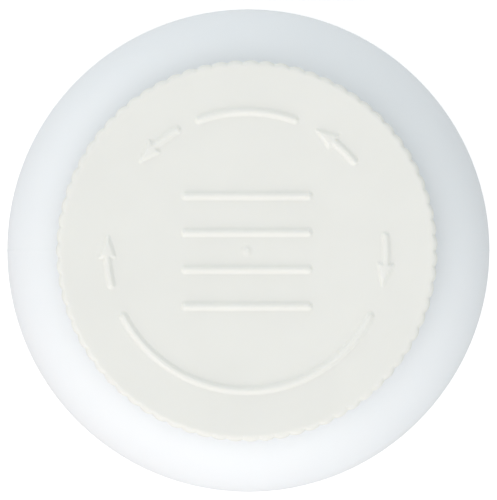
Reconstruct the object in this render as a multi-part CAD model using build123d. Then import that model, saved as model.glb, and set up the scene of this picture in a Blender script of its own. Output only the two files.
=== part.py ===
"""Round packer bottle with a push-down-and-turn closure, in millimetres, +Z up, origin at the base."""

from build123d import *
from math import asin, cos, degrees, pi, radians, sin, sqrt
import os

# Bottle body
body_radius = 28.0
body_wall = 1.0
body_heel_radius = 4.0
base_extra_thickness = 0.2
base_push_up = 2.5
standing_ring_width = 1.6
neck_foot_height = 86.8
panel_depth = 0.4
panel_margin = 4.0
panel_taper = 0.8

# Neck finish, a 38-400 thread
finish_height = 10.2
finish_wall_radius = 17.4
finish_wall_thickness = 2.1
finish_foot_fillet = 1.5
lip_chamfer = 0.35
thread_pitch = 25.4 / 6
thread_turns = 1.25
thread_depth = 1.2
thread_root_width = 2.3
thread_crest_width = 1.1
thread_lip_gap = 0.6
thread_embed = 0.2

# Liner and inner cap
liner_thickness = 1.1
liner_wall_clearance = 0.35
seating_clearance = 0.03
inner_cap_top = 1.3
inner_cap_wall = 1.0
thread_radial_clearance = 0.3
thread_end_margin = 0.3
cap_thread_root_width = 1.5
cap_thread_crest_width = 0.7

# Drive teeth on the inner cap and lugs under the overcap
drive_count = 8
drive_rest_gap = 0.2
drive_floor_gap = 0.4
drive_ramp_run = 1.2
drive_share = 0.36
drive_radial_length = 4.0
drive_wall_gap = 1.4
push_travel = 1.6

# Spring ring
spring_radial_width = 4.2
spring_lug_gap = 0.8
spring_base_thickness = 0.8
spring_finger_count = 6
spring_finger_inset = 0.4
spring_finger_run = 4.0
spring_finger_foot = 1.3
spring_finger_tip = 0.9

# Overcap
overcap_running_gap = 0.35
overcap_wall = 1.25
overcap_top = 1.4
overcap_edge_radius = 0.7
overcap_shoulder_clearance = 0.5
rib_count = 75
rib_depth = 0.25
bead_height = 1.2
bead_gap = 0.1
bead_overlap = 0.4
bead_slope = 0.35

# Raised marks: turning arrows and plain grip bars
mark_width = 0.63
emboss_height = 0.35
emboss_embed = 0.3
mark_margin = 5.0
mark_radius = 15.9
upper_bar_span = 40.0
lower_bar_span = 124.0
grip_bar_count = 4
grip_bar_length = 14.0
grip_bar_pitch = 4.2
arrow_span = 20.0
arrow_head_length = 2.35
arrow_head_width = 1.7
open_arrow_angles = (130.0, 50.0)
close_arrow_angles = (184.0, -4.0)
gate_radius = 0.45
gate_height = 0.12

# Heights and radii that follow from the sizes above
finish_top = neck_foot_height + finish_height
finish_bore_radius = finish_wall_radius - finish_wall_thickness
shoulder_radius = body_radius - finish_wall_radius - finish_foot_fillet
shoulder_foot = neck_foot_height - shoulder_radius
thread_crest_radius = finish_wall_radius + thread_depth
neck_thread_top = finish_top - thread_lip_gap - thread_root_width / 2
neck_thread_start = neck_thread_top - thread_turns * thread_pitch

inner_cap_inner_radius = thread_crest_radius + thread_radial_clearance
inner_cap_outer_radius = inner_cap_inner_radius + inner_cap_wall
cap_thread_crest_radius = finish_wall_radius + thread_radial_clearance
liner_bottom = finish_top + seating_clearance
liner_top = liner_bottom + liner_thickness
liner_radius = inner_cap_inner_radius - liner_wall_clearance
inner_cap_ceiling = liner_top + seating_clearance
inner_cap_deck = inner_cap_ceiling + inner_cap_top

drive_height = push_travel + drive_floor_gap - drive_rest_gap
drive_outer_radius = inner_cap_outer_radius - drive_wall_gap
drive_inner_radius = drive_outer_radius - drive_radial_length
drive_width = drive_share * 2 * pi * drive_inner_radius / drive_count
overcap_ceiling = inner_cap_deck + 2 * drive_height + drive_rest_gap
spring_outer_radius = drive_inner_radius - spring_lug_gap
spring_inner_radius = spring_outer_radius - spring_radial_width

overcap_inner_radius = inner_cap_outer_radius + overcap_running_gap
rib_root_radius = overcap_inner_radius + overcap_wall
overcap_radius = rib_root_radius + rib_depth
overcap_bottom = neck_foot_height + push_travel + overcap_shoulder_clearance
overcap_top_face = overcap_ceiling + overcap_top
inner_cap_bottom = overcap_bottom + bead_height + bead_gap


def spin(section):
    """The solid of revolution of a section drawn on the XZ plane."""
    return revolve(section, Axis.Z)


def washer(inner_radius, outer_radius, bottom, top):
    """Flat ring between two heights."""
    height = top - bottom
    ring = Circle(outer_radius) - Circle(inner_radius)
    return Pos(0, 0, bottom) * extrude(ring, height)


def disc(radius, bottom, top):
    """Flat disc between two heights."""
    return Pos(0, 0, bottom) * extrude(Circle(radius), top - bottom)


def radial_block(points, inner_radius, outer_radius):
    """Block along +X between two radii, whose section is drawn in (sideways, height) points."""
    plane = Plane(origin=(inner_radius, 0, 0), x_dir=(0, 1, 0), z_dir=(1, 0, 0))
    section = make_face(Polyline(*points, close=True))
    return extrude(plane * section, outer_radius - inner_radius)


def around(solid, count, start=0.0):
    """Copies of a solid, evenly spaced about the Z axis."""
    return [Rot(0, 0, start + 360 / count * index) * solid for index in range(count)]


def helical_ridge(wall_radius, crest_radius, root_width, crest_width, start_height, start_angle, turns):
    """Right-hand thread ridge: a trapezoid swept up a helix, its root sunk in the wall that carries it."""
    outward = 1 if crest_radius > wall_radius else -1
    root = wall_radius - outward * thread_embed
    helix = Helix(thread_pitch, turns * thread_pitch, root)
    plane = Plane(origin=(root, 0, 0), x_dir=(1, 0, 0), z_dir=(0, -1, 0))
    reach = crest_radius - root
    section = make_face(
        Polyline(
            (0, -root_width / 2),
            (reach, -crest_width / 2),
            (reach, crest_width / 2),
            (0, root_width / 2),
            close=True,
        )
    )
    ridge = sweep(plane * section, path=helix, is_frenet=True)
    return Pos(0, 0, start_height) * Rot(0, 0, start_angle) * ridge


def body_section(inset, extra_floor):
    """Half section of the bottle below its neck, drawn in from the outside by a wall thickness."""
    floor = inset + extra_floor
    side = body_radius - inset
    panel_side = side - panel_depth
    heel = body_heel_radius - inset
    ring_outer = body_radius - body_heel_radius
    ring_inner = ring_outer - standing_ring_width
    panel_low = body_heel_radius + panel_margin
    panel_high = shoulder_foot - panel_margin
    dome_radius = (ring_inner**2 + base_push_up**2) / (2 * base_push_up)
    dome_half_angle = degrees(asin(ring_inner / dome_radius))
    heel_turn = degrees(asin((heel - extra_floor) / heel))
    floor_edge = ring_outer + sqrt(heel**2 - (heel - extra_floor) ** 2)
    with BuildSketch(Plane.XZ) as section:
        with BuildLine():
            CenterArc((0, floor + base_push_up - dome_radius), dome_radius, 90, -dome_half_angle)
            Line((ring_inner, floor), (floor_edge, floor))
            CenterArc((ring_outer, body_heel_radius), heel, -heel_turn, heel_turn)
            Polyline(
                (side, body_heel_radius),
                (side, panel_low),
                (panel_side, panel_low + panel_taper),
                (panel_side, panel_high - panel_taper),
                (side, panel_high),
                (side, shoulder_foot),
            )
            CenterArc((body_radius - shoulder_radius, shoulder_foot), shoulder_radius - inset, 0, 90)
            Polyline(
                (body_radius - shoulder_radius, neck_foot_height - inset),
                (0, neck_foot_height - inset),
                (0, floor + base_push_up),
            )
        make_face()
    return section.sketch


def neck_solid():
    """Solid neck with its foot fillet and a chamfered lip."""
    fillet_edge = finish_wall_radius + finish_foot_fillet
    fillet_top = neck_foot_height + finish_foot_fillet
    with BuildSketch(Plane.XZ) as section:
        with BuildLine():
            Polyline(
                (0, neck_foot_height - body_wall),
                (fillet_edge, neck_foot_height - body_wall),
                (fillet_edge, neck_foot_height),
            )
            CenterArc((fillet_edge, fillet_top), finish_foot_fillet, -90, -90)
            Polyline(
                (finish_wall_radius, fillet_top),
                (finish_wall_radius, finish_top - lip_chamfer),
                (finish_wall_radius - lip_chamfer, finish_top),
                (0, finish_top),
                (0, neck_foot_height - body_wall),
            )
        make_face()
    return spin(section.sketch)


def make_bottle():
    """Blown bottle: round body, label panel, quarter-round shoulder and threaded neck, open at the mouth."""
    outside = spin(body_section(0, 0)) + neck_solid()
    thread = helical_ridge(
        finish_wall_radius,
        thread_crest_radius,
        thread_root_width,
        thread_crest_width,
        neck_thread_start,
        0,
        thread_turns,
    )
    inside = spin(body_section(body_wall, base_extra_thickness))
    bore = disc(finish_bore_radius, neck_foot_height - 2 * body_wall, finish_top)
    return outside + thread - inside - bore


def make_liner():
    """Plain sealing disc that rests on the lip."""
    return disc(liner_radius, liner_bottom, liner_top)


def make_inner_cap():
    """Threaded shell with one-way drive teeth on its deck."""
    shell = disc(inner_cap_outer_radius, inner_cap_bottom, inner_cap_deck)
    shell -= disc(inner_cap_inner_radius, inner_cap_bottom, inner_cap_ceiling)
    half_root = cap_thread_root_width / 2
    lowest = inner_cap_bottom + half_root + thread_end_margin
    highest = liner_bottom - half_root - thread_end_margin
    # Half a pitch above the neck's thread, so the two ridges lie between each other's turns.
    start_angle = 360 * ((lowest - neck_thread_start) / thread_pitch - 0.5)
    shell += helical_ridge(
        inner_cap_inner_radius,
        cap_thread_crest_radius,
        cap_thread_root_width,
        cap_thread_crest_width,
        lowest,
        start_angle,
        (highest - lowest) / thread_pitch,
    )
    half = drive_width / 2
    foot = inner_cap_deck - seating_clearance
    tooth = radial_block(
        [
            (-half, foot),
            (half, foot),
            (half, inner_cap_deck + drive_height),
            (drive_ramp_run - half, inner_cap_deck + drive_height),
        ],
        drive_inner_radius,
        drive_outer_radius,
    )
    return shell + around(tooth, drive_count)


def make_spring_ring():
    """Moulded ring of sloping leaf fingers, seated on the deck and reaching up to the overcap."""
    bottom = inner_cap_deck + seating_clearance
    base_top = bottom + spring_base_thickness
    tip = overcap_ceiling - seating_clearance
    half = spring_finger_run / 2
    finger = radial_block(
        [
            (-half, base_top - seating_clearance),
            (spring_finger_foot - half, base_top - seating_clearance),
            (half, tip),
            (half - spring_finger_tip, tip),
        ],
        spring_inner_radius + spring_finger_inset,
        spring_outer_radius - spring_finger_inset,
    )
    ring = washer(spring_inner_radius, spring_outer_radius, bottom, base_top)
    return ring + around(finger, spring_finger_count)


def ribbed_skirt():
    """Solid drum whose side is a ring of rounded ribs, with a rounded top edge."""
    pitch = 360 / rib_count
    outline = Curve()
    for index in range(rib_count):
        angles = (index * pitch, (index + 0.5) * pitch, (index + 1) * pitch)
        reach = (rib_root_radius, overcap_radius, rib_root_radius)
        points = [(r * cos(radians(a)), r * sin(radians(a))) for r, a in zip(reach, angles)]
        outline += ThreePointArc(*points)
    height = overcap_top_face - overcap_bottom
    drum = Pos(0, 0, overcap_bottom) * extrude(make_face(outline), height)
    rim = overcap_radius - overcap_edge_radius
    with BuildSketch(Plane.XZ) as envelope:
        with BuildLine():
            Polyline(
                (0, overcap_top_face),
                (0, overcap_bottom),
                (overcap_radius, overcap_bottom),
                (overcap_radius, overcap_top_face - overcap_edge_radius),
            )
            CenterArc((rim, overcap_top_face - overcap_edge_radius), overcap_edge_radius, 0, 90)
            Line((rim, overcap_top_face), (0, overcap_top_face))
        make_face()
    return drum & spin(envelope.sketch)


def on_circle(radius, angle):
    """Point on a circle about the origin, from an angle in degrees."""
    return radius * cos(radians(angle)), radius * sin(radians(angle))


def curved_bar(start, end):
    """Flat bar of the marks' width along their circle, between two angles."""
    middle = (start + end) / 2
    outer, inner = mark_radius + mark_width / 2, mark_radius - mark_width / 2
    return make_face(
        ThreePointArc(on_circle(outer, start), on_circle(outer, middle), on_circle(outer, end))
        + Line(on_circle(outer, end), on_circle(inner, end))
        + ThreePointArc(on_circle(inner, end), on_circle(inner, middle), on_circle(inner, start))
        + Line(on_circle(inner, start), on_circle(outer, start))
    )


def arrow(centre, direction):
    """Curved arrow along the marks' circle; direction is 1 for anticlockwise."""
    tail, tip = centre - direction * arrow_span / 2, centre + direction * arrow_span / 2
    neck = tip - direction * degrees(arrow_head_length / mark_radius)
    side = arrow_head_width / 2
    corners = (on_circle(mark_radius + side, neck), on_circle(mark_radius - side, neck), on_circle(mark_radius, tip))
    return curved_bar(tail, neck) + make_face(Polyline(*corners, close=True))


def raised_marks():
    """Arrows and grip bars, standing on the overcap's top face and kept clear of its edge."""
    fit = (overcap_radius - mark_margin) / (mark_radius + arrow_head_width / 2)
    faces = []
    for row in range(grip_bar_count):
        height = (row - (grip_bar_count - 1) / 2) * grip_bar_pitch
        faces.append(Pos(0, height) * Rectangle(grip_bar_length, mark_width))
    faces.append(curved_bar(90 - upper_bar_span / 2, 90 + upper_bar_span / 2))
    faces.append(curved_bar(270 - lower_bar_span / 2, 270 + lower_bar_span / 2))
    faces += [arrow(angle, 1) for angle in open_arrow_angles]
    faces += [arrow(angle, -1) for angle in close_arrow_angles]
    foot = overcap_top_face - emboss_embed
    fitted = [Pos(0, 0, foot) * scale(face, fit) for face in faces]
    return [extrude(face, emboss_embed + emboss_height) for face in fitted]


def make_outer_cap():
    """Ribbed overcap with drive lugs, a snap bead below the inner cap, and raised marks."""
    shell = ribbed_skirt()
    shell -= disc(overcap_inner_radius, overcap_bottom, overcap_ceiling)
    bead_top = overcap_bottom + bead_height
    bead_radius = inner_cap_outer_radius - bead_overlap
    bead = make_face(
        Plane.XZ
        * Polyline(
            (overcap_inner_radius + bead_slope, overcap_bottom),
            (overcap_inner_radius, overcap_bottom),
            (bead_radius, overcap_bottom + bead_slope),
            (bead_radius, bead_top - bead_slope),
            (overcap_inner_radius, bead_top),
            (overcap_inner_radius + bead_slope, bead_top),
            close=True,
        )
    )
    half = drive_width / 2
    lug_foot = overcap_ceiling - drive_height
    lug = radial_block(
        [
            (-half, overcap_ceiling + seating_clearance),
            (-half, lug_foot),
            (half - drive_ramp_run, lug_foot),
            (half, overcap_ceiling),
            (half, overcap_ceiling + seating_clearance),
        ],
        drive_inner_radius,
        drive_outer_radius,
    )
    gate = disc(gate_radius, overcap_top_face - emboss_embed, overcap_top_face + gate_height)
    lugs = around(lug, drive_count, 180 / drive_count)
    return shell + spin(bead) + lugs + gate + raised_marks()


os.makedirs("parts", exist_ok=True)
pieces = {
    "bottle": make_bottle,
    "liner": make_liner,
    "inner_cap": make_inner_cap,
    "spring_ring": make_spring_ring,
    "outer_cap": make_outer_cap,
}
for name, make in pieces.items():
    export_step(make(), f"parts/{name}.step")
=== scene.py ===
"""Looks of the round packer bottle and its push-and-turn closure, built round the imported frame."""

import math

import bpy
import numpy as np
from mathutils import Matrix, Vector, geometry


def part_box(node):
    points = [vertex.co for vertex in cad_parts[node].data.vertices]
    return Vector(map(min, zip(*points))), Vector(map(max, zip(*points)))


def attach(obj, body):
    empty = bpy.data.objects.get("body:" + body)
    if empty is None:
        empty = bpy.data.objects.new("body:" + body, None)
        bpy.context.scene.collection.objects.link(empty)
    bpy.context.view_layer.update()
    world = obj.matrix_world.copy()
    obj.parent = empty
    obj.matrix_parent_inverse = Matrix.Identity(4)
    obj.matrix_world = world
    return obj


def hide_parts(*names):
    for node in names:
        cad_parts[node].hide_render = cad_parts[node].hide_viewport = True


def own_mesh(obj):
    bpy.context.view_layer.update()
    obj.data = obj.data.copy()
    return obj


bl_info = {
    "name": "Packer bottle with push-and-turn closure",
    "version": (1, 0, 0),
    "blender": (4, 5, 0),
    "location": "View3D > Sidebar > Vial",
    "description": "Builds the bottle, its closure shells, spring ring, liner and stage round a packed frame",
    "category": "Object",
}

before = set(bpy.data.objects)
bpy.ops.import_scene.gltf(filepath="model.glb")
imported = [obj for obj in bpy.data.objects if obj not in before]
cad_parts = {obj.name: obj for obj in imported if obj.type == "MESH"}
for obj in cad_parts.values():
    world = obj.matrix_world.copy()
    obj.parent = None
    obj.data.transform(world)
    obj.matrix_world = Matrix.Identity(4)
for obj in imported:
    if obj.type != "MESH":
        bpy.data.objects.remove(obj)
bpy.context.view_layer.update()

MM = 0.001
FULL_TURN = 2 * math.pi
bottle_low, bottle_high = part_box("bottle")
overcap_low, overcap_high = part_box("outer_cap")
inner_low, inner_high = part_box("inner_cap")
spring_low, spring_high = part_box("spring_ring")
liner_low, liner_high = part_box("liner")


# --- Settings -------------------------------------------------------------------------------------


def length(name, description, metres):
    """A length setting in metres."""
    return bpy.props.FloatProperty(
        name=name, description=description, default=metres, precision=5, unit="LENGTH", subtype="DISTANCE"
    )


def colour(name, description, red, green, blue):
    """A colour setting in linear light."""
    return bpy.props.FloatVectorProperty(
        name=name,
        description=description,
        default=(red, green, blue),
        min=0,
        max=1.1,
        size=3,
        subtype="COLOR",
    )


def share(name, description, value):
    """A setting from 0 to 1."""
    return bpy.props.FloatProperty(
        name=name, description=description, default=value, min=0, max=1, subtype="FACTOR"
    )


def angle(name, description, degrees):
    """An angle setting."""
    return bpy.props.FloatProperty(
        name=name, description=description, default=math.radians(degrees), unit="ROTATION", subtype="ANGLE"
    )


class BottleSettings(bpy.types.PropertyGroup):
    """Sizes and finish of the blown bottle."""

    body_radius: length("Body radius", "Radius of the body at its bumper rolls", bottle_high.x)
    wall: length("Wall", "Thickness of the blown wall", 1.0 * MM)
    heel_radius: length("Heel radius", "Rounding from the base to the side", 4.0 * MM)
    push_up: length("Push-up", "Height of the base's dome", 2.5 * MM)
    standing_ring: length("Standing ring", "Width of the flat ring that the bottle stands on", 1.6 * MM)
    panel_depth: length("Panel depth", "How far the label panel lies below the bumper rolls", 0.4 * MM)
    panel_margin: length("Panel margin", "Height of each bumper roll", 4.0 * MM)
    finish_height: length("Finish height", "Height of the threaded neck", 10.2 * MM)
    finish_radius: length("Finish radius", "Outside radius of the neck's wall", 17.4 * MM)
    bore_radius: length("Bore radius", "Radius of the mouth", 15.3 * MM)
    neck_fillet: length("Neck fillet", "Rounding where the neck meets the shoulder", 1.5 * MM)
    thread_depth: length("Thread depth", "How far the thread stands out of the neck", 1.2 * MM)
    thread_turns: bpy.props.FloatProperty(
        name="Thread turns", description="Number of turns of the neck's thread", default=1.25, min=0.5, max=2
    )
    seam_height: length("Seam height", "Height of the mould's parting line", 0.035 * MM)
    colour: colour("Colour", "White polyethylene", 0.858, 0.889, 0.909)
    roughness: share("Roughness", "Satin of the blown surface", 0.36)


class ClosureSettings(bpy.types.PropertyGroup):
    """Sizes and finishes of the closure's shells, spring ring and liner."""

    pitch: length("Thread pitch", "Climb of the thread in one turn", 25.4 / 6 * MM)
    rib_count: bpy.props.IntProperty(
        name="Ribs", description="Grip ribs round the overcap", default=75, min=12
    )
    rib_depth: length("Rib depth", "Depth of the valleys between ribs", 0.25 * MM)
    edge_radius: length("Edge radius", "Rounding of the overcap's top edge", 0.7 * MM)
    overcap_wall: length("Overcap wall", "Wall of the overcap under its rib valleys", 1.25 * MM)
    overcap_top: length("Overcap top", "Thickness of the overcap's top", 1.4 * MM)
    inner_wall: length("Inner cap wall", "Wall of the inner cap", 1.0 * MM)
    inner_top: length("Inner cap top", "Thickness of the inner cap's top", 1.3 * MM)
    drive_count: bpy.props.IntProperty(
        name="Drive teeth", description="One-way teeth in the ring", default=8, min=4
    )
    drive_height: length("Drive height", "Height of the teeth and lugs", 1.8 * MM)
    stroke: length("Stroke", "Width of the raised marks at half their height", 0.63 * MM)
    emboss: length("Emboss height", "How far the marks stand up", 0.35 * MM)
    overcap_colour: colour("Overcap colour", "Ivory polypropylene", 0.825, 0.828, 0.785)
    overcap_roughness: share("Overcap roughness", "Fine matt of the moulded overcap", 0.5)
    inner_colour: colour("Inner cap colour", "Natural polypropylene", 0.78, 0.79, 0.77)
    spring_colour: colour("Spring colour", "Natural acetal", 0.80, 0.79, 0.73)
    liner_colour: colour("Liner colour", "Closed-cell foam", 0.88, 0.88, 0.86)


class StageSettings(bpy.types.PropertyGroup):
    """Camera and studio light."""

    camera_height: length("Camera height", "Camera above the closure's top", 1.6)
    camera_right: length("Camera right", "Camera to the right of the axis", 9.0 * MM)
    camera_back: length("Camera back", "Camera towards the back", 2.6 * MM)
    frame_width: length("Frame width", "Width of the view at the shoulder", 57.57 * MM)
    aim_right: length("Aim right", "How far right of the axis the view is centred", 0.04 * MM)
    aim_back: length("Aim back", "How far towards the back the view is centred", 0.066 * MM)
    key_azimuth: angle("Key azimuth", "Direction the main light comes from, anticlockwise from +X", 232)
    key_elevation: angle("Key elevation", "Height of the main light above the horizon", 50)
    key_power: bpy.props.FloatProperty(
        name="Key power", description="Power of the main light in watts", default=0.3
    )
    cool: colour("Cool side", "Tint of the light away from the main light", 0.985, 1.015, 1.03)
    warm: colour("Warm side", "Tint of the light beside the main light", 1.01, 0.98, 0.975)
    floor_glow: bpy.props.FloatProperty(
        name="Floor glow", description="The floor's own light", default=0.42
    )


# --- Mesh tools -----------------------------------------------------------------------------------


def smooth(x):
    """Smooth step: 0 below 0, 1 above 1, and 3x^2 - 2x^3 between."""
    x = np.clip(x, 0, 1)
    return x * x * (3 - 2 * x)


def rounded_profile(corners, step):
    """Points along a chain of (radius, height, rounding) corners.

    Each corner becomes an arc of its rounding, tangent to both of its sides: the arc starts
    rounding x tan(half the turn) before the corner. Straights and arcs are cut into equal steps.
    """
    points = np.array([corner[:2] for corner in corners])
    chain = [points[:1]]
    for index in range(1, len(corners)):
        here, before = points[index], chain[-1][-1]
        toward = (here - points[index - 1]) / np.linalg.norm(here - points[index - 1])
        rounding = corners[index][2] if index < len(corners) - 1 else 0
        if rounding == 0:
            chain.append(straight(before, here, step)[1:])
            continue
        onward = (points[index + 1] - here) / np.linalg.norm(points[index + 1] - here)
        turn = math.atan2(toward[0] * onward[1] - toward[1] * onward[0], toward @ onward)
        start = here - toward * rounding * math.tan(abs(turn) / 2)
        side = math.copysign(rounding, turn) * np.array([-toward[1], toward[0]])
        count = max(4, math.ceil(abs(turn) * rounding / step), math.ceil(abs(turn) / 0.2))
        sweep = np.linspace(0, turn, count)
        arm = -side
        arc = (start + side) + np.stack(
            [
                arm[0] * np.cos(sweep) - arm[1] * np.sin(sweep),
                arm[0] * np.sin(sweep) + arm[1] * np.cos(sweep),
            ],
            1,
        )
        chain.append(straight(before, start, step)[1:-1])
        chain.append(arc)
    return np.concatenate(chain)


def straight(start, end, step):
    """Evenly spaced points from start to end."""
    count = max(2, math.ceil(np.linalg.norm(end - start) / step) + 1)
    return start + (end - start) * np.linspace(0, 1, count)[:, None]


def round_grid(radius, height, angles):
    """Points and faces of a surface of revolution given as (row, column) arrays of radius and height.

    Point = (radius cos angle, radius sin angle, height). Rows run along the section with the solid on
    their left, and columns close round the axis. A first or last row of zero radius becomes one pole.
    """
    rows, columns = radius.shape
    grid = np.stack([radius * np.cos(angles), radius * np.sin(angles), height], -1).reshape(-1, 3)
    row, column = np.meshgrid(np.arange(rows - 1), np.arange(columns), indexing="ij")
    after = (column + 1) % columns
    here = row * columns
    quads = np.stack([here + column, here + after, here + columns + after, here + columns + column], -1)
    faces = []
    first, last = 0, rows - 1
    ring = np.arange(columns)
    beside = (ring + 1) % columns
    if radius[0].max() == 0:
        faces.append(np.stack([np.zeros_like(ring), columns + beside, columns + ring], 1))
        first = 1
    if radius[-1].max() == 0:
        below = (rows - 2) * columns
        pole = (rows - 1) * columns
        faces.append(np.stack([below + ring, below + beside, np.full_like(ring, pole)], 1))
        last = rows - 2
    faces.append(quads[first:last].reshape(-1, 4))
    return grid, faces


def add_piece(name, points, faces, material):
    """A smooth-shaded object at the origin from points and blocks of face corners, unused points left out."""
    corners = np.concatenate([block.ravel() for block in faces])
    used, corners = np.unique(corners, return_inverse=True)
    sizes = np.concatenate([np.full(len(block), block.shape[1]) for block in faces])
    mesh = bpy.data.meshes.new(name)
    mesh.vertices.add(len(used))
    mesh.vertices.foreach_set("co", points[used].astype(np.float32).ravel())
    mesh.loops.add(len(corners))
    mesh.loops.foreach_set("vertex_index", corners.ravel().astype(np.int32))
    mesh.polygons.add(len(sizes))
    mesh.polygons.foreach_set("loop_start", np.concatenate([[0], np.cumsum(sizes)[:-1]]).astype(np.int32))
    mesh.polygons.foreach_set("use_smooth", np.ones(len(sizes), bool))
    mesh.update(calc_edges=True)
    mesh.validate()
    mesh.materials.append(material)
    piece = bpy.data.objects.new(name, mesh)
    bpy.context.scene.collection.objects.link(piece)
    return piece


def place(piece, body, slot, *nodes):
    """Ties a piece to its body and hides the frame nodes that it stands for; the slot is not used."""
    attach(piece, body)
    if nodes:
        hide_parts(*nodes)


# --- Materials ------------------------------------------------------------------------------------


class Surface:
    """A Principled material whose patterns read Object coordinates."""

    def __init__(self, name, base, roughness, reflection=1.5):
        self.material = bpy.data.materials.new(name)
        self.material.use_nodes = True
        self.nodes = self.material.node_tree.nodes
        self.links = self.material.node_tree.links
        self.shader = self.nodes["Principled BSDF"]
        self.base = base
        self.shader.inputs["Base Color"].default_value = (*base, 1)
        self.shader.inputs["Roughness"].default_value = roughness
        self.shader.inputs["IOR"].default_value = reflection
        self.place = self.nodes.new("ShaderNodeTexCoord").outputs["Object"]
        self.normal = None

    def glow(self, weight, depth, scatter):
        """Light that enters the plastic and leaves it a little way off."""
        self.shader.inputs["Subsurface Weight"].default_value = weight
        self.shader.inputs["Subsurface Radius"].default_value = scatter
        self.shader.inputs["Subsurface Scale"].default_value = depth

    def noise(self, size, detail=2.0, stretch=(1, 1, 1)):
        """Cloud noise whose features have a given size in metres, stretched along the axes."""
        mapping = self.nodes.new("ShaderNodeMapping")
        mapping.inputs["Scale"].default_value = [1 / (size * s) for s in stretch]
        self.links.new(self.place, mapping.inputs["Vector"])
        cloud = self.nodes.new("ShaderNodeTexNoise")
        cloud.inputs["Scale"].default_value = 1
        cloud.inputs["Detail"].default_value = detail
        self.links.new(mapping.outputs["Vector"], cloud.inputs["Vector"])
        return cloud.outputs["Fac"]

    def relief(self, pattern, depth):
        """Bump of a given depth in metres, on top of what is there."""
        bump = self.nodes.new("ShaderNodeBump")
        bump.inputs["Distance"].default_value = depth
        self.links.new(pattern, bump.inputs["Height"])
        if self.normal is not None:
            self.links.new(self.normal, bump.inputs["Normal"])
        self.normal = bump.outputs["Normal"]
        self.links.new(self.normal, self.shader.inputs["Normal"])

    def tint(self, pattern, other, low=0.35, high=0.65):
        """Drifts the base colour towards another one where the pattern is high."""
        ramp = self.nodes.new("ShaderNodeValToRGB")
        ramp.color_ramp.elements[0].position = low
        ramp.color_ramp.elements[1].position = high
        ramp.color_ramp.elements[0].color = (*self.base, 1)
        ramp.color_ramp.elements[1].color = (*other, 1)
        self.links.new(pattern, ramp.inputs["Fac"])
        self.links.new(ramp.outputs["Color"], self.shader.inputs["Base Color"])

    def sheen_drift(self, pattern, low, high):
        """Lets the roughness wander between two values."""
        spread = self.nodes.new("ShaderNodeMapRange")
        spread.inputs["From Min"].default_value = 0.3
        spread.inputs["From Max"].default_value = 0.7
        spread.inputs["To Min"].default_value = low
        spread.inputs["To Max"].default_value = high
        self.links.new(pattern, spread.inputs["Value"])
        self.links.new(spread.outputs["Result"], self.shader.inputs["Roughness"])


def shade(base, factor):
    """A colour made lighter or darker."""
    return tuple(min(1.0, part * factor) for part in base)


def white_polyethylene(settings):
    """Blown white bottle: bluish, satin, with faint flow streaks and a fine orange-peel skin."""
    base = tuple(settings.colour)
    surface = Surface("white_polyethylene", base, settings.roughness, 1.53)
    surface.glow(0.12, 1.2 * MM, (0.9, 1.0, 1.1))
    surface.tint(surface.noise(14 * MM, 3, (1, 1, 2.5)), shade(base, 0.985))
    surface.sheen_drift(surface.noise(5 * MM, 3), settings.roughness - 0.04, settings.roughness + 0.05)
    surface.relief(surface.noise(1.1 * MM, 2), 0.006 * MM)
    surface.relief(surface.noise(0.16 * MM, 2), 0.0016 * MM)
    return surface.material


def ivory_polypropylene(settings):
    """Moulded ivory overcap with a spark-eroded matt."""
    base = tuple(settings.overcap_colour)
    surface = Surface("ivory_polypropylene", base, settings.overcap_roughness, 1.49)
    surface.glow(0.15, 0.8 * MM, (1.0, 0.95, 0.8))
    surface.tint(surface.noise(7 * MM, 3), shade(base, 0.985))
    roughness = settings.overcap_roughness
    surface.sheen_drift(surface.noise(2.5 * MM, 3), roughness - 0.05, roughness + 0.07)
    surface.relief(surface.noise(0.13 * MM, 3), 0.004 * MM)
    return surface.material


def natural_polypropylene(settings):
    """Unpigmented inner cap: milky, a little see-through in thin parts, faintly swirled."""
    base = tuple(settings.inner_colour)
    surface = Surface("natural_polypropylene", base, 0.34, 1.49)
    surface.glow(0.5, 2.0 * MM, (1.0, 1.0, 0.95))
    surface.tint(surface.noise(6 * MM, 4, (1, 1, 0.5)), shade(base, 0.95))
    surface.sheen_drift(surface.noise(2 * MM, 2), 0.28, 0.42)
    surface.relief(surface.noise(0.3 * MM, 2), 0.002 * MM)
    return surface.material


def natural_acetal(settings):
    """Slippery creamy spring plastic."""
    base = tuple(settings.spring_colour)
    surface = Surface("natural_acetal", base, 0.26, 1.48)
    surface.glow(0.3, 1.0 * MM, (1.0, 0.95, 0.8))
    surface.tint(surface.noise(3 * MM, 3), shade(base, 0.96))
    surface.sheen_drift(surface.noise(1 * MM, 2), 0.2, 0.34)
    surface.relief(surface.noise(0.25 * MM, 2), 0.0015 * MM)
    return surface.material


def liner_foam(settings):
    """Closed-cell foam with smooth faces and fine cells."""
    base = tuple(settings.liner_colour)
    surface = Surface("liner_foam", base, 0.72, 1.45)
    surface.glow(0.25, 0.6 * MM, (1.0, 1.0, 1.0))
    surface.tint(surface.noise(0.5 * MM, 4), shade(base, 0.93))
    surface.relief(surface.noise(0.22 * MM, 3), 0.012 * MM)
    return surface.material


# --- Bottle ---------------------------------------------------------------------------------------


def ridge(distance, root_width, crest_width):
    """Height from 0 to 1 of a rounded trapezoid thread section, across its width."""
    half_root, half_crest = root_width / 2, crest_width / 2
    return smooth((half_root - np.abs(distance)) / (half_root - half_crest))


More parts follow.
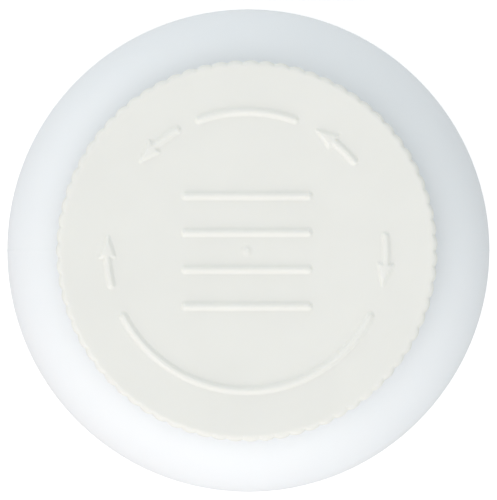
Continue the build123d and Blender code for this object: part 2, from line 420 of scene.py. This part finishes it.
def helix_ridge(height, angles, start, pitch, turns, root_width, crest_width, fade):
    """Height from 0 to 1 of a right-hand thread over (row, column) arrays of height and angle.

    The ridge's middle lies at start + pitch x (angle / full turn + n) for each whole n. It fades in
    and out over a given share of a turn at its two ends.
    """
    total = np.zeros(np.broadcast(height, angles).shape)
    for lap in range(-1, math.ceil(turns) + 1):
        along = angles / FULL_TURN + lap
        middle = start + pitch * along
        ends = smooth(along / fade) * smooth((turns - along) / fade)
        total = np.maximum(total, ends * ridge(height - middle, root_width, crest_width))
    return total


def bottle_angles(seam_width):
    """Column angles: even ones, with three close together at each of the two parting lines."""
    even = np.arange(288) / 288 * FULL_TURN
    close = np.concatenate([side + np.array([-2, -1, 1, 2]) * seam_width for side in (0, math.pi)])
    return np.sort(np.concatenate([even, close % FULL_TURN]))


def bottle_section(s):
    """Section of the bottle's wall: out along the base, up the outside, over the lip and down the inside."""
    foot = bottle_high.z - s.finish_height
    ring_outer = s.body_radius - s.heel_radius
    ring_inner = ring_outer - s.standing_ring
    neck_edge = s.finish_radius + s.neck_fillet
    shoulder = s.body_radius - neck_edge
    low, high = s.heel_radius + s.panel_margin, foot - shoulder - s.panel_margin
    taper = 2 * s.panel_depth
    soft = 1.2 * MM

    def side(inset, down):
        """Heel, label panel and shoulder corners at an inset from the outside."""
        edge = s.body_radius - inset
        corners = [
            (edge, down, s.heel_radius - inset),
            (edge, low, soft),
            (edge - s.panel_depth, low + taper, soft),
            (edge - s.panel_depth, high - taper, soft),
            (edge, high, soft),
            (edge, foot - inset, shoulder - inset),
        ]
        return corners

    rise = np.linspace(0, 1, 15)
    dome = np.stack([rise * ring_inner, s.push_up * (1 - rise**2)], 1)
    outside = [(ring_inner, 0, 0)] + side(0, 0)
    outside += [(s.finish_radius, foot, s.neck_fillet), (s.finish_radius, bottle_high.z, 0.4 * MM)]
    over = [(s.bore_radius, bottle_high.z, 0.3 * MM), (s.bore_radius, foot - s.wall, 0.8 * MM)]
    floor = 1.2 * s.wall
    inside = side(s.wall, floor)[::-1]
    chain = rounded_profile(outside + over + inside + [(ring_inner, floor, 0)], 1.1 * MM)
    inner_dome = np.stack([(1 - rise) * ring_inner, floor + s.push_up * (1 - (1 - rise) ** 2)], 1)
    return np.concatenate([dome[:-1], chain, inner_dome[1:]])


def refine(section, low, high, radius, step):
    """Adds even rows to the upright run of a section at one radius between two heights."""
    rows = [section[:1]]
    for before, after in zip(section[:-1], section[1:]):
        upright = abs(before[0] - radius) + abs(after[0] - radius) < 0.02 * MM
        inside = low < (before[1] + after[1]) / 2 < high
        rows.append(straight(before, after, step if upright and inside else 1)[1:])
    return np.concatenate(rows)


def outward_normals(section):
    """Unit normals of a section, to the right of its direction, from the slope between neighbours."""
    along = np.gradient(section, axis=0)
    along /= np.linalg.norm(along, axis=1)[:, None]
    return np.stack([along[:, 1], -along[:, 0]], 1)


class VIAL_OT_bottle(bpy.types.Operator):
    """Build the blown bottle with its label panel, thread, parting lines and pushed-up base"""

    bl_idname = "vial.bottle"
    bl_label = "Bottle"

    def execute(self, context):
        s, c = context.scene.vial_bottle, context.scene.vial_closure
        foot = bottle_high.z - s.finish_height
        section = refine(bottle_section(s), foot, bottle_high.z, s.finish_radius, 0.16 * MM)
        angles = bottle_angles(0.1 * MM / s.body_radius)[None, :]
        radius, height = section[:, :1], section[:, 1:]
        normal = outward_normals(section)
        lip_row = int(np.argmax((section[:, 1] > bottle_high.z - 1e-6) & (section[:, 0] < s.finish_radius)))
        outside = (np.arange(len(section)) < lip_row)[:, None] & (radius > 0.1 * MM)

        # Mould seam: a bell-shaped ridge along the plane of the parting lines.
        off_seam = radius * np.sin(angles)
        seam = s.seam_height * np.exp(-((off_seam / (0.09 * MM)) ** 2)) * (height > 0.5 * MM)
        seam = seam * (1 - 0.7 * smooth((s.body_radius - radius) / (2 * MM)))
        # Blown skin: three slow waves round and up the body, sunk a few hundredths of a millimetre.
        waves = np.sin(3 * angles + 90 * height) + np.sin(5 * angles - 160 * height + 1.3)
        waves = 0.01 * MM * (waves + np.sin(2 * angles + 60 * height + 0.4) - 3) * smooth(height / (12 * MM))
        waves = waves * (radius > s.finish_radius + s.neck_fillet)
        shift = outside * (seam - s.seam_height + waves)
        # Pinch-off: a narrow weld line across the middle of the base.
        weld = 0.12 * MM * np.exp(-((off_seam / (0.35 * MM)) ** 2)) * smooth((17 * MM - radius) / (5 * MM))
        base = (np.arange(len(section)) < 14)[:, None]

        top = bottle_high.z - 0.6 * MM - 1.15 * MM
        thread = helix_ridge(
            height, angles, top - s.thread_turns * c.pitch, c.pitch, s.thread_turns, 2.3 * MM, 0.9 * MM, 0.09
        )
        on_finish = outside & (np.abs(radius - s.finish_radius) < 0.3 * MM) & (height > foot + s.neck_fillet)
        radii = radius + shift * normal[:, :1] + on_finish * thread * s.thread_depth
        heights = height + shift * normal[:, 1:] - base * weld
        radii[[0, -1]] = 0
        heights[[0, -1]] = heights[[0, -1], :1]
        points, faces = round_grid(radii, heights + 0 * angles, angles)
        piece = add_piece("blown_bottle", points, faces, white_polyethylene(s))
        place(piece, "bottle", "bottle_white", "bottle")
        return {"FINISHED"}


# --- Raised marks ---------------------------------------------------------------------------------

MARK_RADIUS = 15.9 * MM
GRIP_BARS = 4
GRIP_BAR_LENGTH = 14 * MM
GRIP_BAR_PITCH = 4.2 * MM
UPPER_BAR_SPAN = 40
LOWER_BAR_SPAN = 124
ARROW_SPAN = 20
ARROW_HEAD_LENGTH = 2.35 * MM
ARROW_HEAD_HALF = 0.85 * MM
OPEN_ARROWS = (130, 50)
CLOSE_ARROWS = (184, -4)


def curved_bar(radius, centre, span):
    """The centreline of a plain bar along a circle, between centre -/+ span / 2 in degrees."""
    turns = np.radians(np.linspace(centre - span / 2, centre + span / 2, 2 + int(span / 2)))
    return [("line", np.stack([radius * np.cos(turns), radius * np.sin(turns)], 1))]


def straight_bar(width, height):
    """The centreline of a plain level bar, centred left to right."""
    return [("line", np.array([(-width / 2, height), (width / 2, height)]))]


def curved_arrow(radius, centre, sense):
    """An arrow along a circle: a curved shaft and a pointed head; sense is 1 for anticlockwise."""
    span = math.radians(ARROW_SPAN)
    tail = math.radians(centre) - sense * span / 2
    tip = math.radians(centre) + sense * span / 2
    neck = tip - sense * ARROW_HEAD_LENGTH / radius

    def at(reach, turn):
        return np.array([reach * math.cos(turn), reach * math.sin(turn)])

    turns = np.linspace(tail, neck + sense * 0.3 * MM / radius, 12)
    shaft = np.stack([radius * np.cos(turns), radius * np.sin(turns)], 1)
    inner, outer = radius - ARROW_HEAD_HALF, radius + ARROW_HEAD_HALF
    head = np.array([at(inner, neck), at(outer, neck), at(radius, tip)])
    return [("line", shaft), ("block", head if sense < 0 else head[[1, 0, 2]])]


def raised_marks():
    """All the arrows and plain grip bars: rows across the middle, and bars and arrows round a circle."""
    shapes = []
    for row in range(GRIP_BARS):
        shapes += straight_bar(GRIP_BAR_LENGTH, (row - (GRIP_BARS - 1) / 2) * GRIP_BAR_PITCH)
    shapes += curved_bar(MARK_RADIUS, 90, UPPER_BAR_SPAN)
    shapes += curved_bar(MARK_RADIUS, 270, LOWER_BAR_SPAN)
    for centre in OPEN_ARROWS:
        shapes += curved_arrow(MARK_RADIUS, centre, 1)
    for centre in CLOSE_ARROWS:
        shapes += curved_arrow(MARK_RADIUS, centre, -1)
    return shapes


def segment_distance(points, starts, ends):
    """Distance of each point to the nearest of several segments: to its perpendicular's foot, or an end."""
    run = ends - starts
    away = points[:, None] - starts
    part = np.clip((away * run).sum(-1) / (run**2).sum(-1), 0, 1)
    return np.linalg.norm(away - part[..., None] * run, axis=-1).min(1)


def shape_distance(points, kind, corners, t):
    """Signed distance to a stroke, negative inside: a block by its sides, a line by half the stroke."""
    if kind == "line":
        return segment_distance(points, corners[:-1], corners[1:]) - t / 2
    ends = np.roll(corners, -1, axis=0)
    run, away = ends - corners, points[:, None] - corners
    turn = run[:, 0] * away[..., 1] - run[:, 1] * away[..., 0]
    inside = (turn > 0).all(1) | (turn < 0).all(1)
    return np.where(inside, -1, 1) * segment_distance(points, corners, ends)


def marks_field(c, reach, step):
    """Signed distance to the nearest mark on an even grid, worked out in a window round each shape."""
    axis = np.arange(-reach, reach + step, step)
    x, y = np.meshgrid(axis, axis)
    grid = np.stack([x, y], -1)
    field = np.full(x.shape, 1.0 * MM)
    margin = 0.8 * MM
    for kind, corners in raised_marks():
        low = np.searchsorted(axis, corners.min(0) - c.stroke - margin)
        high = np.searchsorted(axis, corners.max(0) + c.stroke + margin)
        window = (slice(low[1], high[1]), slice(low[0], high[0]))
        spot = grid[window]
        near = shape_distance(spot.reshape(-1, 2), kind, corners, c.stroke).reshape(spot.shape[:2])
        field[window] = np.minimum(field[window], near)
    return axis, grid, field


def contour_points(grid, field, level, step):
    """Points on one level of a distance field.

    Grid points near the level slide down the field's slope onto it, and are thinned to one in each cell.
    """
    slope = np.stack(np.gradient(field, step)[::-1], -1)
    steep = np.linalg.norm(slope, axis=-1)
    near = (np.abs(field - level) < 0.8 * step) & (steep > 0.85)
    points = grid[near] - ((field - level)[near] / steep[near] ** 2)[:, None] * slope[near]
    group = np.unique(np.floor(points / (1.15 * step)).astype(int), axis=0, return_inverse=True)[1].ravel()
    count = np.bincount(group)
    return np.stack([np.bincount(group, points[:, axis]) / count for axis in (0, 1)], 1)


def top_panel(c, rim, rim_points, top):
    """The overcap's top as a height field over a disc, triangulated between contours of the marks.

    Height = top + emboss x smooth step of the distance to the nearest mark, so every mark has a
    soft toe, a sloping wall and a flat crest. Points lie on contours of that distance along the walls
    and on a wide grid elsewhere. The rim's own points come first and are shared with the side.
    """
    step = 0.1 * MM
    toe, crest = 0.26 * MM, -0.24 * MM
    axis, grid, field = marks_field(c, rim, step)

    def rise(distance):
        return c.emboss * smooth((toe - distance) / (toe - crest))

    levels = np.linspace(toe, crest, 7)
    flat, heights = [rim_points[:, :2]], [np.full(len(rim_points), top)]
    for level in (0.36 * MM, *levels):
        points = contour_points(grid, field, level, step)
        flat.append(points)
        heights.append(np.full(len(points), top + rise(level)))
    wide = grid[::6, ::6][(field[::6, ::6] > 0.48 * MM)]
    wide = wide[np.linalg.norm(wide, axis=1) < rim - 0.35 * MM]
    gate_turn = np.arange(24) / 24 * FULL_TURN
    gate_ring = np.stack([np.cos(gate_turn), np.sin(gate_turn)], 1)
    nub, dish = 0.34 * MM, 0.95 * MM
    wide = wide[np.linalg.norm(wide, axis=1) > dish + 0.2 * MM]
    flat.append(wide)
    heights.append(np.full(len(wide), top))
    for reach, lift in ((nub * 0.6, 0.1), (nub, 0.07), (nub * 1.25, 0.0), (dish * 0.9, 0.0), (dish, 0.0)):
        ring = reach * gate_ring
        spot = np.stack([np.searchsorted(axis, ring[:, 1]), np.searchsorted(axis, ring[:, 0])])
        clear = field[spot[0], spot[1]] > toe
        flat.append(ring[clear])
        heights.append(np.full(int(clear.sum()), top + lift * MM))
    flat, heights = np.concatenate(flat), np.concatenate(heights)
    found = geometry.delaunay_2d_cdt(list(map(Vector, (flat / MM).tolist())), [], [], 0, 1e-7, True)
    first = np.array([ids[0] for ids in found[3]])
    triangles = first[np.array(found[2])]
    return np.column_stack([flat, heights]), triangles


# --- Closure --------------------------------------------------------------------------------------


def drive_profile(radius, angles, count, offset, half, ramp, sense, soft):
    """Height from 0 to 1 of one-way teeth over (row, column) arrays of radius and angle.

    Across a tooth the distance is radius x sin(angle from its middle). One flank is upright, and the
    other slopes back over the ramp; sense picks which side is upright.
    """
    step = FULL_TURN / count
    turn = (angles - offset + step / 2) % step - step / 2
    across = sense * radius * np.sin(turn)
    return smooth((half - across) / soft) * np.clip((across + half) / ramp, 0, 1)


def ring_window(radius, inner, outer, soft):
    """1 between two radii, falling to 0 over a soft edge outside them."""
    return smooth((radius - inner + soft) / soft) * smooth((outer + soft - radius) / soft)


class VIAL_OT_overcap(bpy.types.Operator):
    """Build the ribbed overcap with its raised marks, snap bead and drive lugs"""

    bl_idname = "vial.overcap"
    bl_label = "Overcap"

    def execute(self, context):
        c = context.scene.vial_closure
        outer = max(overcap_high.x, overcap_high.y) + 0.005 * MM
        top = overcap_high.z - c.emboss
        bottom = overcap_low.z
        ceiling = top - c.overcap_top
        inner = outer - c.rib_depth - c.overcap_wall
        bead = inner_high.x - 0.4 * MM
        bead_top = bottom + 1.2 * MM
        lug_outer = inner_high.x - 1.4 * MM
        lug_inner = lug_outer - 4.0 * MM
        rim = outer - c.edge_radius - 0.15 * MM

        marks = [0, 5, 9, 12.5]
        lug_rows = [lug_inner + k * MM for k in (-0.3, -0.14, -0.07, 0, 0.3)]
        lug_rows += [lug_inner + 2 * MM] + [lug_outer + k * MM for k in (-0.3, 0, 0.07, 0.14, 0.3)]
        ceiling_rows = np.array([m * MM for m in marks] + lug_rows)
        ceiling_part = np.stack([ceiling_rows, np.full(len(ceiling_rows), ceiling)], 1)
        corners = [
            (ceiling_rows[-1], ceiling, 0),
            (inner, ceiling, 0.4 * MM),
            (inner, bead_top, 0.2 * MM),
            (bead, bead_top - 0.35 * MM, 0.2 * MM),
            (bead, bottom + 0.35 * MM, 0.2 * MM),
            (inner, bottom, 0.15 * MM),
            (outer, bottom, 0.2 * MM),
            (outer, top, c.edge_radius),
            (rim, top, 0),
        ]
        wall_part = rounded_profile(corners, 2.4 * MM)
        section = np.concatenate([ceiling_part, wall_part[1:]])
        angles = (np.arange(c.rib_count * 8) / (c.rib_count * 8) * FULL_TURN)[None, :]
        radius, height = section[:, :1], section[:, 1:]

        # Ribs: each valley is |2f - 1|^2 of the way down, f being the share of the pitch from valley to
        # valley. They fade out over the rounded edges at the top and bottom.
        f = (angles * c.rib_count / FULL_TURN) % 1
        lean = np.clip((radius - rim) / (outer - rim), 0, 1)
        fade = smooth(lean * 1.15 - 0.05) * (radius > inner + 0.3 * MM)
        ribs = c.rib_depth * (2 * f - 1) ** 2 * fade

        half = 0.5 * 0.36 * FULL_TURN * lug_inner / c.drive_count
        offset = math.pi / c.drive_count
        lugs = drive_profile(radius, angles, c.drive_count, offset, half, 1.2 * MM, -1, 0.17 * MM)
        lugs = lugs * ring_window(radius, lug_inner, lug_outer, 0.14 * MM)
        on_ceiling = (np.arange(len(section)) < len(ceiling_part))[:, None]
        heights = height - c.drive_height * lugs * on_ceiling
        points, faces = round_grid(radius - ribs, heights, angles)

        last = (len(section) - 1) * angles.size
        panel, triangles = top_panel(c, rim, points[last:], top)
        points = np.concatenate([points[:last], panel])
        faces.append(triangles + last)
        piece = add_piece("ribbed_overcap", points, faces, ivory_polypropylene(c))
        place(piece, "outer_cap", "overcap_ivory", "outer_cap")
        return {"FINISHED"}


class VIAL_OT_inner_cap(bpy.types.Operator):
    """Build the threaded inner cap with one-way drive teeth on its deck"""

    bl_idname = "vial.inner_cap"
    bl_label = "Inner cap"

    def execute(self, context):
        s, c = context.scene.vial_bottle, context.scene.vial_closure
        outer, bottom = inner_high.x, inner_low.z
        inner = outer - c.inner_wall
        deck = inner_high.z - c.drive_height
        ceiling = deck - c.inner_top
        tooth_outer = outer - 1.4 * MM
        tooth_inner = tooth_outer - 4.0 * MM

        corners = [
            (0, ceiling, 0),
            (inner, ceiling, 0.4 * MM),
            (inner, bottom, 0.25 * MM),
            (outer, bottom, 0.25 * MM),
            (outer, deck, 0.45 * MM),
            (tooth_outer + 0.5 * MM, deck, 0),
        ]
        wall_part = rounded_profile(corners, 2.0 * MM)
        wall_part = refine(wall_part, bottom, ceiling, inner, 0.16 * MM)
        rows = [tooth_outer + k * MM for k in (0.3, 0.14, 0.07, 0, -0.3)] + [tooth_inner + 2 * MM]
        rows += [tooth_inner + k * MM for k in (0.3, 0, -0.07, -0.14, -0.3)]
        rows += [k * MM for k in (13, 9, 5, 2, 0)]
        deck_part = np.stack([np.array(rows), np.full(len(rows), deck)], 1)
        section = np.concatenate([wall_part, deck_part])
        angles = (np.arange(480) / 480 * FULL_TURN)[None, :]
        radius, height = section[:, :1], section[:, 1:]

        thread_start = bottle_high.z - 1.75 * MM - s.thread_turns * c.pitch
        lowest = bottom + 1.05 * MM
        highest = liner_low.z - 1.05 * MM
        lead = FULL_TURN * ((lowest - thread_start) / c.pitch - 0.5)
        turned = (angles - lead) % FULL_TURN
        turns = (highest - lowest) / c.pitch
        thread = helix_ridge(height, turned, lowest, c.pitch, turns, 1.5 * MM, 0.6 * MM, 0.08)
        on_wall = (np.abs(radius - inner) < 0.05 * MM) & (height < ceiling)
        depth = inner - s.finish_radius - 0.3 * MM

        half = 0.5 * 0.36 * FULL_TURN * tooth_inner / c.drive_count
        teeth = drive_profile(radius, angles, c.drive_count, 0, half, 1.2 * MM, 1, 0.17 * MM)
        teeth = teeth * ring_window(radius, tooth_inner, tooth_outer, 0.14 * MM)
        on_deck = (np.arange(len(section)) >= len(wall_part))[:, None]
        radii = radius - on_wall * thread * depth
        heights = height + c.drive_height * teeth * on_deck
        points, faces = round_grid(radii, heights, angles)
        piece = add_piece("threaded_inner_cap", points, faces, natural_polypropylene(c))
        place(piece, "inner_cap", "inner_cap_natural", "inner_cap")
        return {"FINISHED"}


class VIAL_OT_spring_ring(bpy.types.Operator):
    """Build the spring ring: a flat base ring and six curved leaf fingers"""

    bl_idname = "vial.spring_ring"
    bl_label = "Spring ring"

    def execute(self, context):
        c = context.scene.vial_closure
        material = natural_acetal(c)
        outer, base_top = spring_high.x, spring_low.z + 0.8 * MM
        inner = outer - 4.2 * MM
        corners = [
            ((inner + outer) / 2, spring_low.z, 0),
            (outer, spring_low.z, 0.2 * MM),
            (outer, base_top, 0.2 * MM),
            (inner, base_top, 0.2 * MM),
            (inner, spring_low.z, 0.2 * MM),
            ((inner + outer) / 2, spring_low.z, 0),
        ]
        section = rounded_profile(corners, 0.8 * MM)
        angles = (np.arange(192) / 192 * FULL_TURN)[None, :]
        points, faces = round_grid(section[:, :1] + 0 * angles, section[:, 1:] + 0 * angles, angles)
        base = add_piece("spring_base", points, faces, material)
        place(base, "spring_ring", "spring_natural", "spring_ring")

        # Fingers: a rounded rectangle carried along an S-curve that climbs from the base to the tip.
        # Section point = (width, thickness) x signed power 0.35 of (cos v, sin v).
        run, tip = 4.0 * MM, spring_high.z
        u = np.linspace(0, 1, 21)
        across = (u - 0.5) * run
        climb = base_top - 0.12 * MM + (tip - 0.28 * MM - base_top + 0.12 * MM) * smooth(u)
        thickness = 0.28 * MM * np.sqrt(np.clip(1 - (2 * u - 1) ** 12, 0, 1))
        width = (outer - inner - 0.8 * MM) / 2 * np.clip(1 - (2 * u - 1) ** 20, 0, 1)
        v = np.arange(20) / 20 * FULL_TURN
        wide = np.sign(np.cos(v)) * np.abs(np.cos(v)) ** 0.35
        thick = np.sign(np.sin(v)) * np.abs(np.sin(v)) ** 0.35
        slope = np.gradient(climb, across)
        lean = np.stack([-slope, np.ones_like(slope)], 1) / np.hypot(slope, 1)[:, None]
        reach = (inner + outer) / 2 + width[:, None] * wide
        sideways = across[:, None] + thickness[:, None] * thick * lean[:, :1]
        upward = climb[:, None] + thickness[:, None] * thick * lean[:, 1:]
        turns = (np.arange(6) / 6 * FULL_TURN)[:, None, None]
        x = reach * np.cos(turns) - sideways * np.sin(turns)
        y = reach * np.sin(turns) + sideways * np.cos(turns)
        points = np.stack([x, y, upward + 0 * turns], -1).reshape(-1, 3)
        row, column = np.meshgrid(np.arange(len(u) - 1), np.arange(len(v)), indexing="ij")
        after = (column + 1) % len(v)
        here = row * len(v)
        one = np.stack([here + column, here + len(v) + column, here + len(v) + after, here + after], -1)
        all_six = one.reshape(-1, 4)[None] + (np.arange(6) * len(u) * len(v))[:, None, None]
        caps = np.stack([np.arange(len(v)), np.arange(len(v))[::-1] + (len(u) - 1) * len(v)])
        all_caps = caps[None] + (np.arange(6) * len(u) * len(v))[:, None, None]
        faces = [all_six.reshape(-1, 4), all_caps.reshape(-1, len(v))]
        fingers = add_piece("spring_fingers", points, faces, material)
        place(fingers, "spring_ring", "spring_natural")
        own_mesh(fingers)
        return {"FINISHED"}


class VIAL_OT_liner(bpy.types.Operator):
    """Build the foam liner with the lip's shallow print on its underside"""

    bl_idname = "vial.liner"
    bl_label = "Liner"

    def execute(self, context):
        s, c = context.scene.vial_bottle, context.scene.vial_closure
        lip = (s.bore_radius + s.finish_radius) / 2
        corners = [(0, liner_low.z, 0), (liner_high.x, liner_low.z, 0.15 * MM)]
        corners += [(liner_high.x, liner_high.z, 0.15 * MM), (0, liner_high.z, 0)]
        section = rounded_profile(corners, 0.4 * MM)
        angles = (np.arange(192) / 192 * FULL_TURN)[None, :]
        radius, height = section[:, :1], section[:, 1:]
        print_depth = 0.05 * MM * np.exp(-(((radius - lip) / (0.8 * MM)) ** 4))
        printed = print_depth * (height < liner_low.z + 0.01 * MM)
        points, faces = round_grid(radius + 0 * angles, height + printed + 0 * angles, angles)
        piece = add_piece("foam_liner", points, faces, liner_foam(c))
        place(piece, "liner", "liner_foam", "liner")
        return {"FINISHED"}


# --- Stage ----------------------------------------------------------------------------------------


def aim(thing, target):
    """Turns a lamp or camera to face a point, with +Y as the view's upward direction."""
    back = (thing.location - target).normalized()
    right = Vector((0, 1, 0)).cross(back).normalized()
    thing.rotation_mode = "QUATERNION"
    thing.rotation_quaternion = Matrix((right, back.cross(right), back)).transposed().to_quaternion()


def soft_light(name, azimuth, elevation, distance, size, power, target):
    """A square area light in a direction from a target."""
    lamp = bpy.data.lights.new(name, "AREA")
    lamp.shape = "SQUARE"
    lamp.size = size
    lamp.energy = power
    thing = bpy.data.objects.new(name, lamp)
    level = distance * math.cos(elevation)
    offset = (level * math.cos(azimuth), level * math.sin(azimuth), distance * math.sin(elevation))
    thing.location = target + Vector(offset)
    bpy.context.scene.collection.objects.link(thing)
    aim(thing, target)


# Each lobe of the studio's light: azimuth and elevation in degrees, sharpness, strength.
SKY_LOBES = (
    (0, -90, 2, 0.48),
    (135, -15, 2, 0.54),
    (225, -15, 2, 0.55),
    (45, -15, 2, 0.45),
    (315, -15, 2, 0.48),
    (0, 25, 6, 0.72),
    (90, 25, 6, 0.77),
    (135, 25, 6, 1.09),
    (225, 25, 6, 0.8),
    (270, 25, 6, 1.15),
    (45, 55, 8, 0.44),
    (135, 55, 8, 0.25),
    (270, 55, 8, 1.4),
)


def pale_floor(glow):
    """A wide white floor that glows a little, so that shadows on it stay faint.

    Only the camera sees it: what lights the bottle from below is the studio's own dim glow.
    """
    reach = 12.0
    mesh = bpy.data.meshes.new("floor")
    corners = [(-reach, -reach, 0), (reach, -reach, 0), (reach, reach, 0), (-reach, reach, 0)]
    mesh.from_pydata(corners, [], [(0, 1, 2, 3)])
    material = bpy.data.materials.new("pale_floor")
    material.use_nodes = True
    shader = material.node_tree.nodes["Principled BSDF"]
    shader.inputs["Base Color"].default_value = (0.8, 0.8, 0.8, 1)
    shader.inputs["Roughness"].default_value = 1
    shader.inputs["Specular IOR Level"].default_value = 0
    shader.inputs["Emission Color"].default_value = (1, 1, 1, 1)
    shader.inputs["Emission Strength"].default_value = glow
    mesh.materials.append(material)
    floor = bpy.data.objects.new("floor", mesh)
    floor.visible_diffuse = False
    floor.visible_glossy = False
    floor.visible_shadow = False
    bpy.context.scene.collection.objects.link(floor)


def studio_sky(lobes, warm_azimuth, cool, warm):
    """Light from all round as a sum of soft lobes, a little warmer on the main light's side.

    Brightness in a direction = sum of strength x max(0, cosine to the lobe's middle) ^ sharpness.
    """
    world = bpy.data.worlds.new("studio")
    world.use_nodes = True
    nodes, links = world.node_tree.nodes, world.node_tree.links
    direction = nodes.new("ShaderNodeTexCoord").outputs["Generated"]
    total = None
    for azimuth, elevation, sharpness, strength in lobes:
        level = math.cos(math.radians(elevation))
        cosine = nodes.new("ShaderNodeVectorMath")
        cosine.operation = "DOT_PRODUCT"
        cosine.inputs[1].default_value = (
            level * math.cos(math.radians(azimuth)),
            level * math.sin(math.radians(azimuth)),
            math.sin(math.radians(elevation)),
        )
        links.new(direction, cosine.inputs[0])
        ahead = nodes.new("ShaderNodeMath")
        ahead.operation = "MAXIMUM"
        ahead.inputs[1].default_value = 0
        links.new(cosine.outputs["Value"], ahead.inputs[0])
        power = nodes.new("ShaderNodeMath")
        power.operation = "POWER"
        power.inputs[1].default_value = sharpness
        links.new(ahead.outputs[0], power.inputs[0])
        lobe = nodes.new("ShaderNodeMath")
        lobe.operation = "MULTIPLY_ADD"
        lobe.inputs[1].default_value = strength
        lobe.inputs[2].default_value = 0
        links.new(power.outputs[0], lobe.inputs[0])
        if total is not None:
            links.new(total, lobe.inputs[2])
        total = lobe.outputs[0]
    links.new(total, nodes["Background"].inputs["Strength"])
    side = nodes.new("ShaderNodeVectorMath")
    side.operation = "DOT_PRODUCT"
    side.inputs[1].default_value = (math.cos(warm_azimuth), math.sin(warm_azimuth), 0)
    links.new(direction, side.inputs[0])
    tint = nodes.new("ShaderNodeValToRGB")
    tint.color_ramp.elements[0].color = (*cool, 1)
    tint.color_ramp.elements[1].color = (*warm, 1)
    tint.color_ramp.elements[1].position = 0.7
    links.new(side.outputs["Value"], tint.inputs["Fac"])
    links.new(tint.outputs["Color"], nodes["Background"].inputs["Color"])
    bpy.context.scene.world = world


class VIAL_OT_stage(bpy.types.Operator):
    """Set up the camera, the pale floor and the soft studio light"""

    bl_idname = "vial.stage"
    bl_label = "Stage"

    def execute(self, context):
        stage, bottle = context.scene.vial_stage, context.scene.vial_bottle
        shoulder_foot = bottle_high.z - bottle.finish_height - bottle.body_radius
        shoulder_foot += bottle.finish_radius + bottle.neck_fillet
        target = Vector((stage.aim_right, stage.aim_back, shoulder_foot))
        camera = bpy.data.cameras.new("camera")
        thing = bpy.data.objects.new("camera", camera)
        thing.location = (stage.camera_right, stage.camera_back, overcap_high.z + stage.camera_height)
        context.scene.collection.objects.link(thing)
        aim(thing, target)
        camera.sensor_fit = "HORIZONTAL"
        distance = (thing.location - target).length
        camera.lens = camera.sensor_width * distance / stage.frame_width
        camera.clip_start = 0.01
        camera.clip_end = 100
        context.scene.camera = thing
        context.scene.view_settings.view_transform = "Standard"
        pale_floor(stage.floor_glow)
        studio_sky(SKY_LOBES, stage.key_azimuth, tuple(stage.cool), tuple(stage.warm))
        soft_light("key", stage.key_azimuth, stage.key_elevation, 0.9, 0.55, stage.key_power, target)
        return {"FINISHED"}


# --- Add-on ---------------------------------------------------------------------------------------


OPERATORS = (
    VIAL_OT_bottle,
    VIAL_OT_overcap,
    VIAL_OT_inner_cap,
    VIAL_OT_spring_ring,
    VIAL_OT_liner,
    VIAL_OT_stage,
)


class VIAL_PT_panel(bpy.types.Panel):
    """Buttons for the pieces and the stage, and their settings"""

    bl_idname = "VIAL_PT_panel"
    bl_label = "Packer bottle"
    bl_space_type = "VIEW_3D"
    bl_region_type = "UI"
    bl_category = "Vial"

    def draw(self, context):
        for operator in OPERATORS:
            self.layout.operator(operator.bl_idname)
        for group in (context.scene.vial_bottle, context.scene.vial_closure, context.scene.vial_stage):
            box = self.layout.box()
            for name in group.__annotations__:
                box.prop(group, name)


CLASSES = (BottleSettings, ClosureSettings, StageSettings, *OPERATORS, VIAL_PT_panel)


def register():
    for cls in CLASSES:
        bpy.utils.register_class(cls)
    bpy.types.Scene.vial_bottle = bpy.props.PointerProperty(type=BottleSettings)
    bpy.types.Scene.vial_closure = bpy.props.PointerProperty(type=ClosureSettings)
    bpy.types.Scene.vial_stage = bpy.props.PointerProperty(type=StageSettings)


def unregister():
    del bpy.types.Scene.vial_stage
    del bpy.types.Scene.vial_closure
    del bpy.types.Scene.vial_bottle
    for cls in reversed(CLASSES):
        bpy.utils.unregister_class(cls)


def main():
    """Registers the add-on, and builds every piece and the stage."""
    register()
    bpy.ops.vial.bottle()
    bpy.ops.vial.overcap()
    bpy.ops.vial.inner_cap()
    bpy.ops.vial.spring_ring()
    bpy.ops.vial.liner()
    bpy.ops.vial.stage()


if __name__ == "__main__":
    main()
